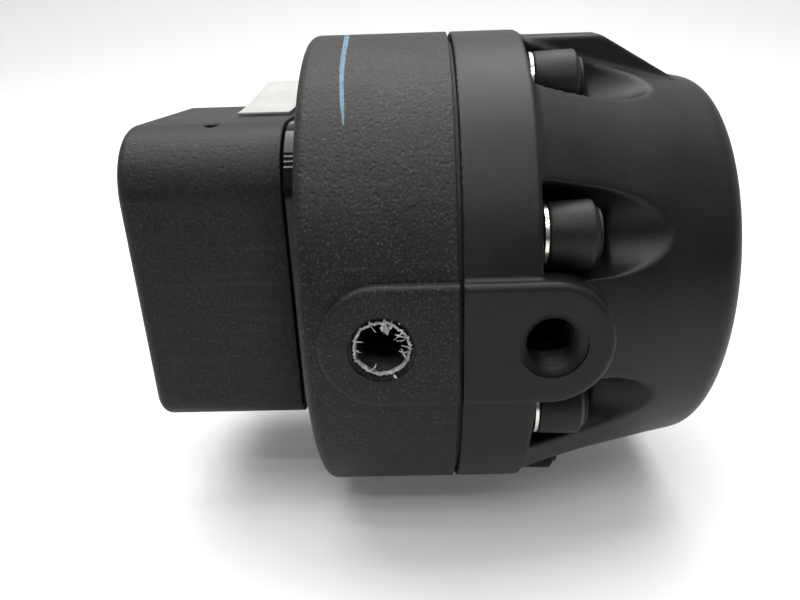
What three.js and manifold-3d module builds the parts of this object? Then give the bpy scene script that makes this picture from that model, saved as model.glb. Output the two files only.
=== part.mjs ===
// Spring-return diaphragm rotary actuator: a drum holds a diaphragm and two return springs,
// the diaphragm pushes a rack rod, and the rack turns a vertical output shaft in the gearbox.
// Millimetres, +Z up, +X along the drum from the gearbox to the spring cover.
// The origin is the centre of the underside pad, on the output shaft's axis.
import * as THREE from "three";
import { mergeVertices } from "three/addons/utils/BufferGeometryUtils.js";
import Module from "manifold-3d";

// ---- driving dimensions (drum coordinates: X = 0 at the parting plane, drum axis Y = Z = 0) ----
const DRUM_R = 65.8; // drum outside radius
const DRUM_LEFT = -37.5; // gearbox side of the drum
const DRUM_FILLET = 3;
const RIM_END = 18.5; // flange face of the spring cover
const CONE_KNEE = [39.8, 58.1]; // X, radius where the lands change slope
const CONE_END = [69.9, 51.3]; // X, radius of the closed end
const CONE_FILLET = 6;
const CHAMBER_R = 50; // air chamber radius
const WALL_IN = -31.5; // inner face of the drum's gearbox-side wall
const CLAMP = 1.3; // half the gap that holds the diaphragm rim
const BOX_LEFT = -85;
const BOX_RIGHT = -43.1; // gearbox housing meets the neck frame
const BOX_FRONT = -37.5; // towards the ports
const BOX_BACK = 37.5;
const BOX_TOP = 45.8;
const BOX_BOTTOM = -34.2;
const BOX_R = 18; // top front corner
const BOX_R2 = 8; // bottom front corner
const BOX_WALL = 4;
const BOLT_COUNT = 8;
const BOLT_PCR = 57; // bolt circle radius
const POCKET_W = 22.4; // bolt pocket width at the flange
const POCKET_RISE = Math.tan((13 * Math.PI) / 180);
const POCKET_TAPER = 0.0056; // narrowing per mm
const CAP_R = 8.3;
const CAP_L = 12.5;
const WASHER_T = 1.2;
const PAD_FACE = -67; // Y of the port pad
const PAD_HALF = 15; // half height and end radius of the port pad
const PAD_LEFT = -33.5;
const PAD_RIGHT = 35.5;
const PORT_LEFT_X = -18.3;
const PORT_RIGHT_X = 21;
const PORT_R = 6.2; // G1/4 thread, drawn at its mean radius
const PORT_MOUTH_R = 8;
const MODULE = 1.25;
const TEETH = 14;
const PITCH_R = (MODULE * TEETH) / 2; // 8.75
const STROKE = (PITCH_R * Math.PI) / 2; // 13.74 for a quarter turn
const SHAFT_X = -61.5;
const SHAFT_Y = -13;
const ROD_R = 8.5;
const ROD_LEFT = SHAFT_X - STROKE - 4.2;
const FACE_HALF = 8; // half the pinion's face width
const SOCKET = 11; // square drive across flats
const GAP = 0.3;

const wasm = await Module();
wasm.setup();

// ---- helpers ----
function solid(geometry) {
  const g = geometry.clone();
  for (const name of Object.keys(g.attributes))
    if (name !== "position") g.deleteAttribute(name);
  const m = mergeVertices(g, 1e-4);
  const idx = m.index.array;
  const keep = [];
  for (let i = 0; i < idx.length; i += 3)
    if (
      idx[i] !== idx[i + 1] &&
      idx[i + 1] !== idx[i + 2] &&
      idx[i] !== idx[i + 2]
    )
      keep.push(idx[i], idx[i + 1], idx[i + 2]);
  const make = (tris) =>
    new wasm.Manifold(
      new wasm.Mesh({
        numProp: 3,
        vertProperties: new Float32Array(m.attributes.position.array),
        triVerts: new Uint32Array(tris),
      }),
    );
  let s = make(keep);
  if (s.volume() < 0) {
    for (let i = 0; i < keep.length; i += 3)
      [keep[i + 1], keep[i + 2]] = [keep[i + 2], keep[i + 1]];
    s = make(keep);
  }
  return s;
}
function geometryOf(s) {
  const mesh = s.getMesh();
  const pos = [];
  for (const v of mesh.triVerts)
    pos.push(
      mesh.vertProperties[v * mesh.numProp],
      mesh.vertProperties[v * mesh.numProp + 1],
      mesh.vertProperties[v * mesh.numProp + 2],
    );
  const g = new THREE.BufferGeometry();
  g.setAttribute("position", new THREE.Float32BufferAttribute(pos, 3));
  g.computeVertexNormals();
  return g;
}
const union = (...parts) => parts.reduce((a, b) => a.add(b));
const cut = (a, ...parts) => parts.reduce((x, b) => x.subtract(b), a);

// A body of revolution about the X axis from [x, radius] points.
function turned(points, segments = 72, y = 0, z = 0) {
  const closed = points[0][1] > 1e-6 || points[points.length - 1][1] > 1e-6;
  const p = points.map(([x, r]) => new THREE.Vector2(r, x));
  if (closed) p.push(p[0].clone());
  const g = new THREE.LatheGeometry(p, segments);
  g.rotateZ(-Math.PI / 2);
  g.translate(0, y, z);
  return solid(g);
}
// The same about a vertical axis, from [z, radius] points.
function turnedZ(points, x, y, segments = 48) {
  const closed = points[0][1] > 1e-6 || points[points.length - 1][1] > 1e-6;
  const p = points.map(([h, r]) => new THREE.Vector2(r, h));
  if (closed) p.push(p[0].clone());
  const g = new THREE.LatheGeometry(p, segments);
  g.rotateX(Math.PI / 2);
  g.translate(x, y, 0);
  return solid(g);
}
const rodX = (r, x0, x1, y = 0, z = 0, n = 32, outside = false) => {
  // outside: r is measured to the flats instead of the corners
  if (outside) r /= Math.cos(Math.PI / n);
  const g = new THREE.CylinderGeometry(r, r, x1 - x0, n);
  g.rotateZ(-Math.PI / 2);
  g.translate((x0 + x1) / 2, y, z);
  return solid(g);
};
const rodY = (r, y0, y1, x = 0, z = 0, n = 32, r2 = r) => {
  // r at y0, r2 at y1
  const g = new THREE.CylinderGeometry(r2, r, y1 - y0, n);
  g.translate(x, (y0 + y1) / 2, z);
  return solid(g);
};
const rodZ = (r, z0, z1, x = 0, y = 0, n = 32) => {
  const g = new THREE.CylinderGeometry(r, r, z1 - z0, n);
  g.rotateX(Math.PI / 2);
  g.translate(x, y, (z0 + z1) / 2);
  return solid(g);
};
const block = (x0, x1, y0, y1, z0, z1) => {
  const g = new THREE.BoxGeometry(x1 - x0, y1 - y0, z1 - z0);
  g.translate((x0 + x1) / 2, (y0 + y1) / 2, (z0 + z1) / 2);
  return solid(g);
};
// Extrudes a shape drawn in (Y, Z) along X.
function prismX(shape, x0, x1, curveSegments = 8) {
  const g = new THREE.ExtrudeGeometry(shape, {
    depth: x1 - x0,
    bevelEnabled: false,
    curveSegments,
  });
  g.applyMatrix4(
    new THREE.Matrix4().set(0, 0, 1, x0, 1, 0, 0, 0, 0, 1, 0, 0, 0, 0, 0, 1),
  );
  return g;
}
// A rectangle in (Y, Z) with its own radius at each corner.
function cornered(y0, y1, z0, z1, rTopFront, rBottomFront, rBack) {
  const s = new THREE.Shape();
  s.moveTo(y0, z0 + rBottomFront);
  s.absarc(
    y0 + rBottomFront,
    z0 + rBottomFront,
    rBottomFront,
    Math.PI,
    1.5 * Math.PI,
    false,
  );
  s.absarc(y1 - rBack, z0 + rBack, rBack, -Math.PI / 2, 0, false);
  s.absarc(y1 - rBack, z1 - rBack, rBack, 0, Math.PI / 2, false);
  s.absarc(
    y0 + rTopFront,
    z1 - rTopFront,
    rTopFront,
    Math.PI / 2,
    Math.PI,
    false,
  );
  return s;
}
const boxSection = (inset) =>
  cornered(
    BOX_FRONT + inset,
    BOX_BACK - inset,
    BOX_BOTTOM + inset,
    BOX_TOP - inset,
    BOX_R - inset,
    Math.max(BOX_R2 - inset, 1.5),
    Math.max(7 - inset, 1.5),
  );
const ringOf = (n, offset, make) => {
  let all = null;
  for (let i = 0; i < n; i++) {
    const one = make(offset + (i * 2 * Math.PI) / n);
    all = all ? all.add(one) : one;
  }
  return all;
};
// Bolt angles are measured from -Y towards +Z.
const atAngle = (r, a) => [-r * Math.cos(a), r * Math.sin(a)];
const HALF_STEP = Math.PI / BOLT_COUNT;

const group = new THREE.Group();
function add(name, s, color, roughness, metalness = 0) {
  const mesh = new THREE.Mesh(
    geometryOf(s),
    new THREE.MeshStandardMaterial({ color, roughness, metalness }),
  );
  mesh.name = name;
  group.add(mesh);
}
const BLACK = 0x2a2a29;
const STEEL = 0xb8b6b0;

// ---- drum: lower casing (gearbox side) ----
function padSolid(x0, x1) {
  // stadium pad with a small bevel round its face, trimmed to x0..x1
  const s = new THREE.Shape();
  const r = PAD_HALF - 1.2;
  const a = PAD_LEFT + PAD_HALF;
  const b = PAD_RIGHT - PAD_HALF;
  s.absarc(b, 0, r, -Math.PI / 2, Math.PI / 2, false);
  s.absarc(a, 0, r, Math.PI / 2, 1.5 * Math.PI, false);
  const g = new THREE.ExtrudeGeometry(s, {
    depth: 14,
    bevelEnabled: true,
    bevelThickness: 1.2,
    bevelSize: 1.2,
    bevelSegments: 1,
    curveSegments: 7,
  });
  g.rotateX(Math.PI / 2); // shape in (X, Z), extruded along -Y
  g.translate(0, PAD_FACE + 15.2, 0);
  return solid(g).intersect(block(x0, x1, -90, 0, -40, 40));
}
const arc = (cx, cr, r, a0, a1, n) =>
  Array.from({ length: n + 1 }, (_, i) => {
    const a = a0 + ((a1 - a0) * i) / n;
    return [cx + r * Math.cos(a), cr + r * Math.sin(a)];
  });
const casingOut = [
  [DRUM_LEFT, 0],
  ...arc(
    DRUM_LEFT + DRUM_FILLET,
    DRUM_R - DRUM_FILLET,
    DRUM_FILLET,
    Math.PI,
    Math.PI / 2,
    2,
  ),
  [-CLAMP, DRUM_R],
  [-CLAMP, 0],
];
let casing = union(
  turned(casingOut, 48),
  padSolid(-60, -CLAMP),
);
casing = cut(
  casing,
  turned(
    [
      [WALL_IN, 0],
      [WALL_IN, CHAMBER_R - 1],
      [WALL_IN + 1, CHAMBER_R],
      [1, CHAMBER_R],
      [1, 0],
    ],
    32,
  ),
);
const HUB_R = 19;
const HUB_END = -26;
const BUSH_R = 12.3;
casing = union(casing, rodX(HUB_R, WALL_IN - 1, HUB_END, 0, 0, 32));
casing = cut(
  casing,
  rodX(BUSH_R, DRUM_LEFT - 2, HUB_END + 2, 0, 0, 32),
  rodX(13.6, -27.9, -26.7, 0, 0, 32),
);
// inlet port
const port = (x, depth) =>
  union(
    rodY(PORT_R, PAD_FACE - 2, depth, x, 0, 24),
    rodY(PORT_MOUTH_R, PAD_FACE - 2, PAD_FACE + 1, x, 0, 24),
    rodY(PORT_MOUTH_R, PAD_FACE + 1, PAD_FACE + 2.8, x, 0, 24, PORT_R),
  );
casing = cut(casing, port(PORT_LEFT_X, -40));
// blind holes in which the cover bolts cut their thread
casing = cut(
  casing,
  ringOf(BOLT_COUNT, HALF_STEP, (a) => {
    const [y, z] = atAngle(BOLT_PCR, a);
    return rodX(3.4, -18, 0, y, z, 8, true);
  }),
);

// gearbox screws: four, from inside the chamber into the gearbox housing
const SCREWS = [
  [-32, 30],
  [32, 30],
  [-32, -20],
  [32, -20],
];
const SCREW_BOSS_R = 7;
const SCREW_HOLE_R = 2.8;
for (const [y, z] of SCREWS)
  casing = cut(casing, rodX(SCREW_HOLE_R, DRUM_LEFT - 2, WALL_IN + 2, y, z, 12));
add("lower_casing", casing, BLACK, 0.75);

// ---- drum: spring cover ----
const [KX, KR] = CONE_KNEE;
const [EX, ER] = CONE_END;
const slope = Math.atan2(KR - ER, EX - KX);
const fx = EX - CONE_FILLET;
const coneAt = (x) =>
  x <= KX
    ? DRUM_R - 0.7 - ((DRUM_R - 0.7 - KR) * (x - RIM_END)) / (KX - RIM_END)
    : KR - ((KR - ER) * (x - KX)) / (EX - KX);
const fr = coneAt(fx) - CONE_FILLET / Math.cos(slope) + CONE_FILLET * 0.12;
const coverOut = [
  [CLAMP, 0],
  [CLAMP, DRUM_R],
  [RIM_END - 0.4, DRUM_R],
  [RIM_END, DRUM_R - 0.4],
  [RIM_END, DRUM_R - 0.7],
  [KX, KR],
  ...arc(fx, fr, CONE_FILLET, Math.PI / 2 - slope, 0, 3),
  [EX, 0],
];
// the crest of the top land stays at the rim's radius as far as the knee
const crest = new THREE.Shape();
crest.moveTo(0, 0);
{
  crest.moveTo(RIM_END - 4, 40);
  crest.lineTo(EX - 14, 40);
  crest.lineTo(EX - 5, coneAt(EX - 5) - 1.5);
  crest.lineTo(38.5, DRUM_R - 1);
  crest.lineTo(RIM_END - 4, DRUM_R - 1);
}
const crestG = new THREE.ExtrudeGeometry(crest, {
  depth: 24,
  bevelEnabled: false,
});
crestG.rotateX(Math.PI / 2); // shape in (X, Z), thickness along Y
crestG.translate(0, 12, 0);
let cover = union(
  turned(coverOut, 48),
  solid(crestG).intersect(
    turned(
      [
        [RIM_END - 4, 0],
        [RIM_END - 4, DRUM_R - 0.7],
        [EX, DRUM_R - 0.7],
        [EX, 0],
      ],
      48,
    ),
  ),
);
// bolt pockets: U-shaped, floor rising towards the closed end
function pocket(a) {
  const s = new THREE.Shape();
  const h = POCKET_W / 2;
  const r = BOLT_PCR - 0.8;
  s.moveTo(-h, r + 26);
  s.lineTo(-h, r);
  s.absarc(0, r, h, Math.PI, 2 * Math.PI, false);
  s.lineTo(h, r + 26);
  const g = prismX(s, RIM_END, RIM_END + 52, 4);
  const p = g.attributes.position;
  for (let i = 0; i < p.count; i++) {
    const d = p.getX(i) - RIM_END;
    p.setY(i, p.getY(i) * (1 - POCKET_TAPER * d));
    p.setZ(i, p.getZ(i) + d * POCKET_RISE);
  }
  g.rotateX(Math.PI / 2 - a);
  return solid(g);
}
cover = cut(
  cover,
  ringOf(BOLT_COUNT, HALF_STEP, (a) => pocket(a)),
);
cover = union(cover, padSolid(CLAMP, 60));
cover = cut(
  cover,
  ringOf(BOLT_COUNT, HALF_STEP, (a) => {
    const [y, z] = atAngle(BOLT_PCR, a);
    return rodX(CAP_R + 0.5, RIM_END, RIM_END + 17, y, z, 12, true);
  }),
  turned(
    [
      [-1, 0],
      [-1, CHAMBER_R],
      [10, CHAMBER_R],
      [17, 39],
      [24, 37.5],
      [62.5, 36],
      [62.5, 0],
    ],
    32,
  ),
  port(PORT_RIGHT_X, -30),
  ringOf(BOLT_COUNT, HALF_STEP, (a) => {
    const [y, z] = atAngle(BOLT_PCR, a);
    return rodX(3.6, -2, RIM_END + 2, y, z, 8, true);
  }),
);
add("spring_cover", cover, BLACK, 0.62);

// ---- diaphragm: bead and rim clamped between the halves, dished centre ----
const DX = -19.2; // centre disc of the diaphragm, at rest
let diaphragm = turned(
  [
    [-1, DRUM_R - 0.9],
    [-1, CHAMBER_R - 1],
    [DX - 1, 35.5],
    [DX - 1, 5.4],
    [DX + 1, 5.4],
    [DX + 1, 36.2],
    [1, CHAMBER_R + 0.4],
    [1, DRUM_R - 0.9],
  ],
  40,
);
diaphragm = cut(
  diaphragm,
  ringOf(BOLT_COUNT, HALF_STEP, (a) => {
    const [y, z] = atAngle(BOLT_PCR, a);
    return rodX(3.7, -2, 2, y, z, 8, true);
  }),
);
add("diaphragm", diaphragm, 0x1c1b1a, 0.9);

// ---- plates, washer and nut that hold the diaphragm on the rod ----
add(
  "diaphragm_plate_air_side",
  turned(
    [
      [DX - 4.3, 5.3],
      [DX - 4.3, 33],
      [DX - 3.3, 34.6],
      [DX - 1.3, 34.6],
      [DX - 1.3, 5.3],
    ],
    36,
  ),
  0xa9a9a6,
  0.45,
  0.9,
);
add(
  "diaphragm_plate_spring_side",
  turned(
    [
      [DX + 1.3, 5.3],
      [DX + 1.3, 34],
      [DX + 6.3, 34],
      [DX + 6.3, 31.8],
      [DX + 4.3, 31.2],
      [DX + 4.3, 22.4],
      [DX + 6.3, 22],
      [DX + 6.3, 20.6],
      [DX + 4.3, 20],
      [DX + 4.3, 5.3],
    ],
    28,
  ),
  0xa9a9a6,
  0.45,
  0.9,
);
add(
  "rod_washer",
  turned(
    [
      [DX + 4.6, 5.3],
      [DX + 4.6, 10.5],
      [DX + 6.2, 10.5],
      [DX + 6.2, 5.3],
    ],
    24,
  ),
  STEEL,
  0.35,
  0.95,
);
{
  const g = new THREE.CylinderGeometry(9.2, 9.2, 6, 6);
  g.rotateZ(-Math.PI / 2);
  g.translate(DX + 6.5 + 3, 0, 0);
  add(
    "rod_nut",
    cut(solid(g), rodX(5.3, DX, DX + 20, 0, 0, 16)),
    STEEL,
    0.4,
    0.95,
  );
}

// ---- rack rod ----
const RACK_LINE = SHAFT_Y + PITCH_R; // pitch line of the rack, Y = -4.25
const PITCH = Math.PI * MODULE;
const TAN = Math.tan((20 * Math.PI) / 180);
const TOOTH_HALF = PITCH / 4 - 0.07;
const ADD_RACK = 0.8 * MODULE;
const DED_RACK = 1.2 * MODULE;
const TEETH_RIGHT = SHAFT_X + 4.4; // last tooth ends here
const RACK_RIGHT = SHAFT_X + 9.6; // the flat ends here, short of the seal at full stroke
let rod = union(
  turned(
    [
      [ROD_LEFT, 0],
      [ROD_LEFT, ROD_R - 1],
      [ROD_LEFT + 1, ROD_R],
      [DX - 4.6, ROD_R],
      [DX - 4.6, 4.9],
      [DX + 14, 4.9],
      [DX + 15, 4],
      [DX + 15, 0],
    ],
    32,
  ),
);
rod = cut(
  rod,
  block(ROD_LEFT - 2, RACK_RIGHT, -20, RACK_LINE + DED_RACK, -20, 20),
);
{
  const s = new THREE.Shape();
  const root = RACK_LINE + DED_RACK;
  const tip = RACK_LINE - ADD_RACK;
  const wr = TOOTH_HALF + DED_RACK * TAN;
  const wt = TOOTH_HALF - ADD_RACK * TAN;
  const centres = [];
  for (let k = -6; k < 4; k++) {
    const c = SHAFT_X + PITCH / 2 + k * PITCH;
    if (c - wr > ROD_LEFT + 0.4 && c + wr < TEETH_RIGHT) centres.push(c);
  }
  for (const c of centres) {
    const t = new THREE.Shape();
    t.moveTo(c - wr, root + 0.5);
    t.lineTo(c - wr, root);
    t.lineTo(c - wt, tip);
    t.lineTo(c + wt, tip);
    t.lineTo(c + wr, root);
    t.lineTo(c + wr, root + 0.5);
    const g = new THREE.ExtrudeGeometry(t, {
      depth: 2 * 6,
      bevelEnabled: false,
    });
    g.translate(0, 0, -6);
    rod = union(rod, solid(g));
  }
}
add("rack_rod", rod, STEEL, 0.35, 0.95);

// ---- rod bush, seal and retaining ring in the casing hub ----
add(
  "rod_bush",
  turned(
    [
      [DRUM_LEFT + 0.4, ROD_R + GAP],
      [DRUM_LEFT + 0.4, BUSH_R - 0.25],
      [-31.2, BUSH_R - 0.25],
      [-31.2, ROD_R + GAP],
    ],
    24,
  ),
  0xb08d4a,
  0.4,
  0.8,
);
add(
  "rod_seal",
  turned(arc(-29.5, 10.5, 1.4, 0, 2 * Math.PI * (5 / 6), 5), 28),
  0x161616,
  0.7,
);
add(
  "seal_retaining_ring",
  cut(
    turned(
      [
        [-27.7, ROD_R + 0.8],
        [-27.7, 13.2],
        [-26.95, 13.2],
        [-26.95, ROD_R + 0.8],
      ],
      32,
    ),
    block(-30, -25, -2.2, 2.2, -20, 0),
  ),
  STEEL,
  0.4,
  0.95,
);

// ---- gearbox housing ----
// blind screw holes in the underside that take the valve bracket
const PAD_HOLES = [
  [-76.2, -24],
  [-74.7, 24],
  [-55, 24],
];
let housing = solid(prismX(boxSection(0), BOX_LEFT, BOX_RIGHT, 7));
const inner = () =>
  solid(prismX(boxSection(BOX_WALL), BOX_LEFT + 3.3, BOX_RIGHT + 5, 5));
const coreUp = inner().intersect(
  block(BOX_LEFT - 1, BOX_RIGHT + 6, -60, 60, 14.5, 60),
);
const coreDown = inner().intersect(
  block(BOX_LEFT - 1, BOX_RIGHT + 6, -60, 60, -60, -14.5),
);
const UP_BORE = 10;
const LOW_BORE = 12.6;
housing = cut(
  housing,
  cut(
    coreUp,
    rodZ(14, 0, 60, SHAFT_X, SHAFT_Y, 28),
    ...SCREWS.map(([y, z]) => rodX(SCREW_BOSS_R, -90, 0, y, z, 16)),
  ),
  cut(
    coreDown,
    rodZ(16.5, -60, 0, SHAFT_X, SHAFT_Y, 28),
    ...SCREWS.map(([y, z]) => rodX(SCREW_BOSS_R, -90, 0, y, z, 16)),
    ...PAD_HOLES.map(([x, y]) => rodZ(6, -60, -20, x, y, 16)),
  ),
  block(BOX_LEFT + 3.3, BOX_RIGHT + 5, SHAFT_Y - 11.5, 9.6, -9.8, 9.8),
  block(SHAFT_X - 10.3, SHAFT_X + 10.3, 8, 13.6, -6.3, 6.3),
  rodZ(UP_BORE, 0, 30.4, SHAFT_X, SHAFT_Y, 32),
  rodZ(LOW_BORE, -60, 0, SHAFT_X, SHAFT_Y, 32),
  rodZ(14.1, BOX_BOTTOM + 2.1, BOX_BOTTOM + 3.5, SHAFT_X, SHAFT_Y, 32),
  ...SCREWS.map(([y, z]) => rodX(SCREW_HOLE_R, -55.4, BOX_RIGHT + 2, y, z, 12)),
);
// vent hole in the top wall
const VENT = [-62.3, -22.5];
housing = cut(housing, rodZ(2.2, 30.1, 60, VENT[0], VENT[1], 16));
housing = cut(
  housing,
  ...PAD_HOLES.map(([x, y]) => rodZ(2.6, -60, BOX_BOTTOM + 11, x, y, 12)),
);
add("gearbox_housing", housing, BLACK, 0.72);

// ---- neck frame between gearbox and drum ----
let neck = cut(
  solid(prismX(boxSection(0.6), BOX_RIGHT + GAP, DRUM_LEFT - GAP, 7)),
  cut(
    solid(prismX(boxSection(5), BOX_RIGHT - 3, DRUM_LEFT + 3, 5)),
    ...SCREWS.map(([y, z]) => rodX(SCREW_BOSS_R, -90, 0, y, z, 16)),
  ),
  ...SCREWS.map(([y, z]) => rodX(SCREW_HOLE_R, BOX_RIGHT - 3, DRUM_LEFT + 3, y, z, 12)),
);
add("neck_frame", neck, 0x0c0c0c, 0.12);

// ---- gearbox screws with pan heads ----
SCREWS.forEach(([y, z], i) =>
  add(
    "gearbox_screw_" + (i + 1),
    turned(
      [
        [-55, 0],
        [-55, 2.1],
        [-54.5, 2.5],
        [WALL_IN + GAP, 2.5],
        [WALL_IN + GAP, 4.6],
        [WALL_IN + 2.2, 4.2],
        [WALL_IN + 3, 3.2],
        [WALL_IN + 3, 0],
      ],
      10,
      y,
      z,
    ),
    STEEL,
    0.4,
    0.95,
  ),
);

// ---- nameplate: a blank sheet tag, bent up towards the back ----
const PLATE = { x0: -59.5, x1: -44.4, y0: -5, y1: 26, t: 0.8, rise: 6.8, skew: 0.12 };
{
  const s = new THREE.Shape();
  const n = 8;
  const lift = (k) => BOX_TOP + GAP + PLATE.rise * Math.pow(k, 1.3);
  const top = [];
  for (let i = 0; i <= n; i++) {
    const k = i / n;
    top.push([PLATE.y0 + (PLATE.y1 - PLATE.y0) * k, lift(k)]);
  }
  s.moveTo(top[0][0], top[0][1]);
  for (const [y, z] of top.slice(1)) s.lineTo(y, z);
  for (const [y, z] of top.slice().reverse()) s.lineTo(y, z + PLATE.t);
  const g = prismX(s, PLATE.x0, PLATE.x1);
  const p = g.attributes.position;
  for (let i = 0; i < p.count; i++)
    p.setX(i, p.getX(i) + PLATE.skew * (p.getY(i) - PLATE.y0));
  add("nameplate", solid(g), 0xd0cfc9, 0.4, 0.6);
}

// ---- output shaft with pinion ----
function pinionShape() {
  const rb = PITCH_R * Math.cos((20 * Math.PI) / 180);
  const ra = PITCH_R + MODULE;
  const rr = PITCH_R - 1.05 * MODULE;
  const inv = (a) => Math.tan(a) - a;
  const s0 = (Math.PI * MODULE) / 2 - 0.14;
  const half = (r) =>
    s0 / (2 * PITCH_R) +
    inv((20 * Math.PI) / 180) -
    inv(Math.acos(Math.min(1, rb / r)));
  const rs = [rb, PITCH_R, ra];
  const pts = [];
  for (let k = 0; k < TEETH; k++) {
    const c = Math.PI / 2 + (k * 2 * Math.PI) / TEETH; // one tooth points at the rack
    const hb = half(rb);
    pts.push([rr, c - hb - 0.03]);
    for (const r of rs) pts.push([r, c - half(r)]);
    for (const r of rs.slice().reverse()) pts.push([r, c + half(r)]);
    pts.push([rr, c + hb + 0.03]);
  }
  const s = new THREE.Shape();
  pts.forEach(([r, a], i) => {
    const x = SHAFT_X + r * Math.cos(a);
    const y = SHAFT_Y + r * Math.sin(a);
    if (i) s.lineTo(x, y);
    else s.moveTo(x, y);
  });
  return s;
}
const gearG = new THREE.ExtrudeGeometry(pinionShape(), {
  depth: 2 * FACE_HALF,
  bevelEnabled: false,
});
gearG.translate(0, 0, -FACE_HALF);
let shaft = union(
  turnedZ(
    [
      [BOX_BOTTOM, 0],
      [BOX_BOTTOM, 9.4],
      [-10.2, 9.4],
      [-10.2, 11.4],
      [-8.8, 11.4],
      [-8.8, 9.4],
      [-FACE_HALF, 9.4],
      [-FACE_HALF, 7.2],
      [9.4, 7.2],
      [9.4, 6.5],
      [29.2, 6.5],
      [30, 5.7],
      [30, 0],
    ],
    SHAFT_X,
    SHAFT_Y,
    32,
  ),
  solid(gearG),
);
shaft = cut(
  shaft,
  block(
    SHAFT_X - SOCKET / 2,
    SHAFT_X + SOCKET / 2,
    SHAFT_Y - SOCKET / 2,
    SHAFT_Y + SOCKET / 2,
    BOX_BOTTOM - 3,
    BOX_BOTTOM + 16,
  ),
);
add("output_shaft", shaft, STEEL, 0.35, 0.95);
const ringZ = (z0, z1, r0, r1, n = 24) =>
  turnedZ(
    [
      [z0, r0],
      [z0, r1],
      [z1, r1],
      [z1, r0],
    ],
    SHAFT_X,
    SHAFT_Y,
    n,
  );
add("upper_bush", ringZ(10.4, 29.8, 6.8, 9.7), 0xb08d4a, 0.4, 0.8);
add("thrust_washer", ringZ(-11.6, -10.5, 9.7, 12.3), 0xd8d3c4, 0.6);
add("lower_bush", ringZ(-27.6, -11.9, 9.7, 12.3), 0xb08d4a, 0.4, 0.8);
add(
  "shaft_seal",
  turnedZ(arc(-29.2, 11, 1.2, 0, 2 * Math.PI * (5 / 6), 5), SHAFT_X, SHAFT_Y, 28),
  0x161616,
  0.7,
);
add(
  "bush_retaining_ring",
  cut(
    ringZ(BOX_BOTTOM + 2.3, BOX_BOTTOM + 3.3, 10.1, 13.7),
    block(SHAFT_X - 2, SHAFT_X + 2, SHAFT_Y + 5, SHAFT_Y + 20, -60, 0),
  ),
  STEEL,
  0.4,
  0.95,
);

// ---- pad behind the rack ----
add(
  "rack_support_pad",
  block(SHAFT_X - 10, SHAFT_X + 10, ROD_R + GAP, 13.3, -6, 6),
  0xe4dfcf,
  0.6,
);

// ---- return springs and their seat ----
function spring(radius, wire, x0, x1, turns) {
  class Helix extends THREE.Curve {
    getPoint(t, target = new THREE.Vector3()) {
      const a = t * turns * 2 * Math.PI;
      return target.set(
        x0 + wire + (x1 - x0 - 2 * wire) * t,
        radius * Math.cos(a),
        radius * Math.sin(a),
      );
    }
  }
  const sides = [];
  for (let i = 0; i < 6; i++)
    sides.push(
      new THREE.Vector2(
        wire * Math.cos((i * Math.PI) / 3),
        wire * Math.sin((i * Math.PI) / 3),
      ),
    );
  const g = new THREE.ExtrudeGeometry(new THREE.Shape(sides), {
    steps: Math.round(turns * 9),
    extrudePath: new Helix(),
    bevelEnabled: false,
  });
  return solid(g);
}
const SEAT = 59.5;
add(
  "return_spring_outer",
  spring(27, 2.2, DX + 4.9, SEAT - 0.6, 6),
  0x8c8a84,
  0.4,
  0.9,
);
add(
  "return_spring_inner",
  spring(16.2, 1.6, DX + 4.9, SEAT - 0.6, 7.5),
  0x8c8a84,
  0.4,
  0.9,
);
add(
  "spring_seat",
  turned(
    [
      [SEAT, 8],
      [SEAT, 12.6],
      [SEAT - 2, 12.8],
      [SEAT - 2, 13.8],
      [SEAT, 14],
      [SEAT, 30.4],
      [SEAT - 2, 30.8],
      [SEAT - 2, 32.4],
      [SEAT + 2.6, 32.4],
      [SEAT + 2.6, 8],
    ],
    28,
  ),
  0xa9a9a6,
  0.45,
  0.9,
);

// ---- cover bolts, each with its washer and push-on cap ----
for (let i = 0; i < BOLT_COUNT; i++) {
  const [y, z] = atAngle(BOLT_PCR, HALF_STEP + i * 2 * HALF_STEP);
  const w = RIM_END + GAP;
  const h = w + WASHER_T + GAP;
  const head = new THREE.CylinderGeometry(5.7, 5.7, 4, 6);
  head.rotateZ(-Math.PI / 2);
  head.translate(h + 2, y, z);
  add(
    "cover_bolt_" + (i + 1),
    union(
      solid(head),
      turned(
        [
          [-16.5, 0],
          [-16.5, 2.5],
          [-16, 3],
          [h + 1, 3],
          [h + 1, 0],
        ],
        8,
        y,
        z,
      ),
    ),
    STEEL,
    0.35,
    0.95,
  );
  add(
    "bolt_washer_" + (i + 1),
    turned(
      [
        [w, 3.4],
        [w, 7.8],
        [w + WASHER_T, 7.8],
        [w + WASHER_T, 3.4],
      ],
      12,
      y,
      z,
    ),
    0xd6d2c6,
    0.18,
    1,
  );
  add(
    "bolt_cap_" + (i + 1),
    turned(
      [
        [h, 6.4],
        [h, CAP_R - 0.4],
        [h + CAP_L - 3, CAP_R],
        [h + CAP_L - 0.6, CAP_R - 2.4],
        [h + CAP_L, CAP_R - 4.6],
        [h + CAP_L, 0],
        [h + 5, 0],
        [h + 5, 6.4],
      ],
      12,
      y,
      z,
    ),
    0x2e2e2e,
    0.5,
  );
}

// the part's own frame: origin at the underside pad, on the shaft axis
group.position.set(-SHAFT_X, -SHAFT_Y, -BOX_BOTTOM);
group.updateMatrixWorld(true);

export default group;
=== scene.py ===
import bpy
import bmesh
import math
import random
from mathutils import Vector, Matrix, noise


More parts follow.
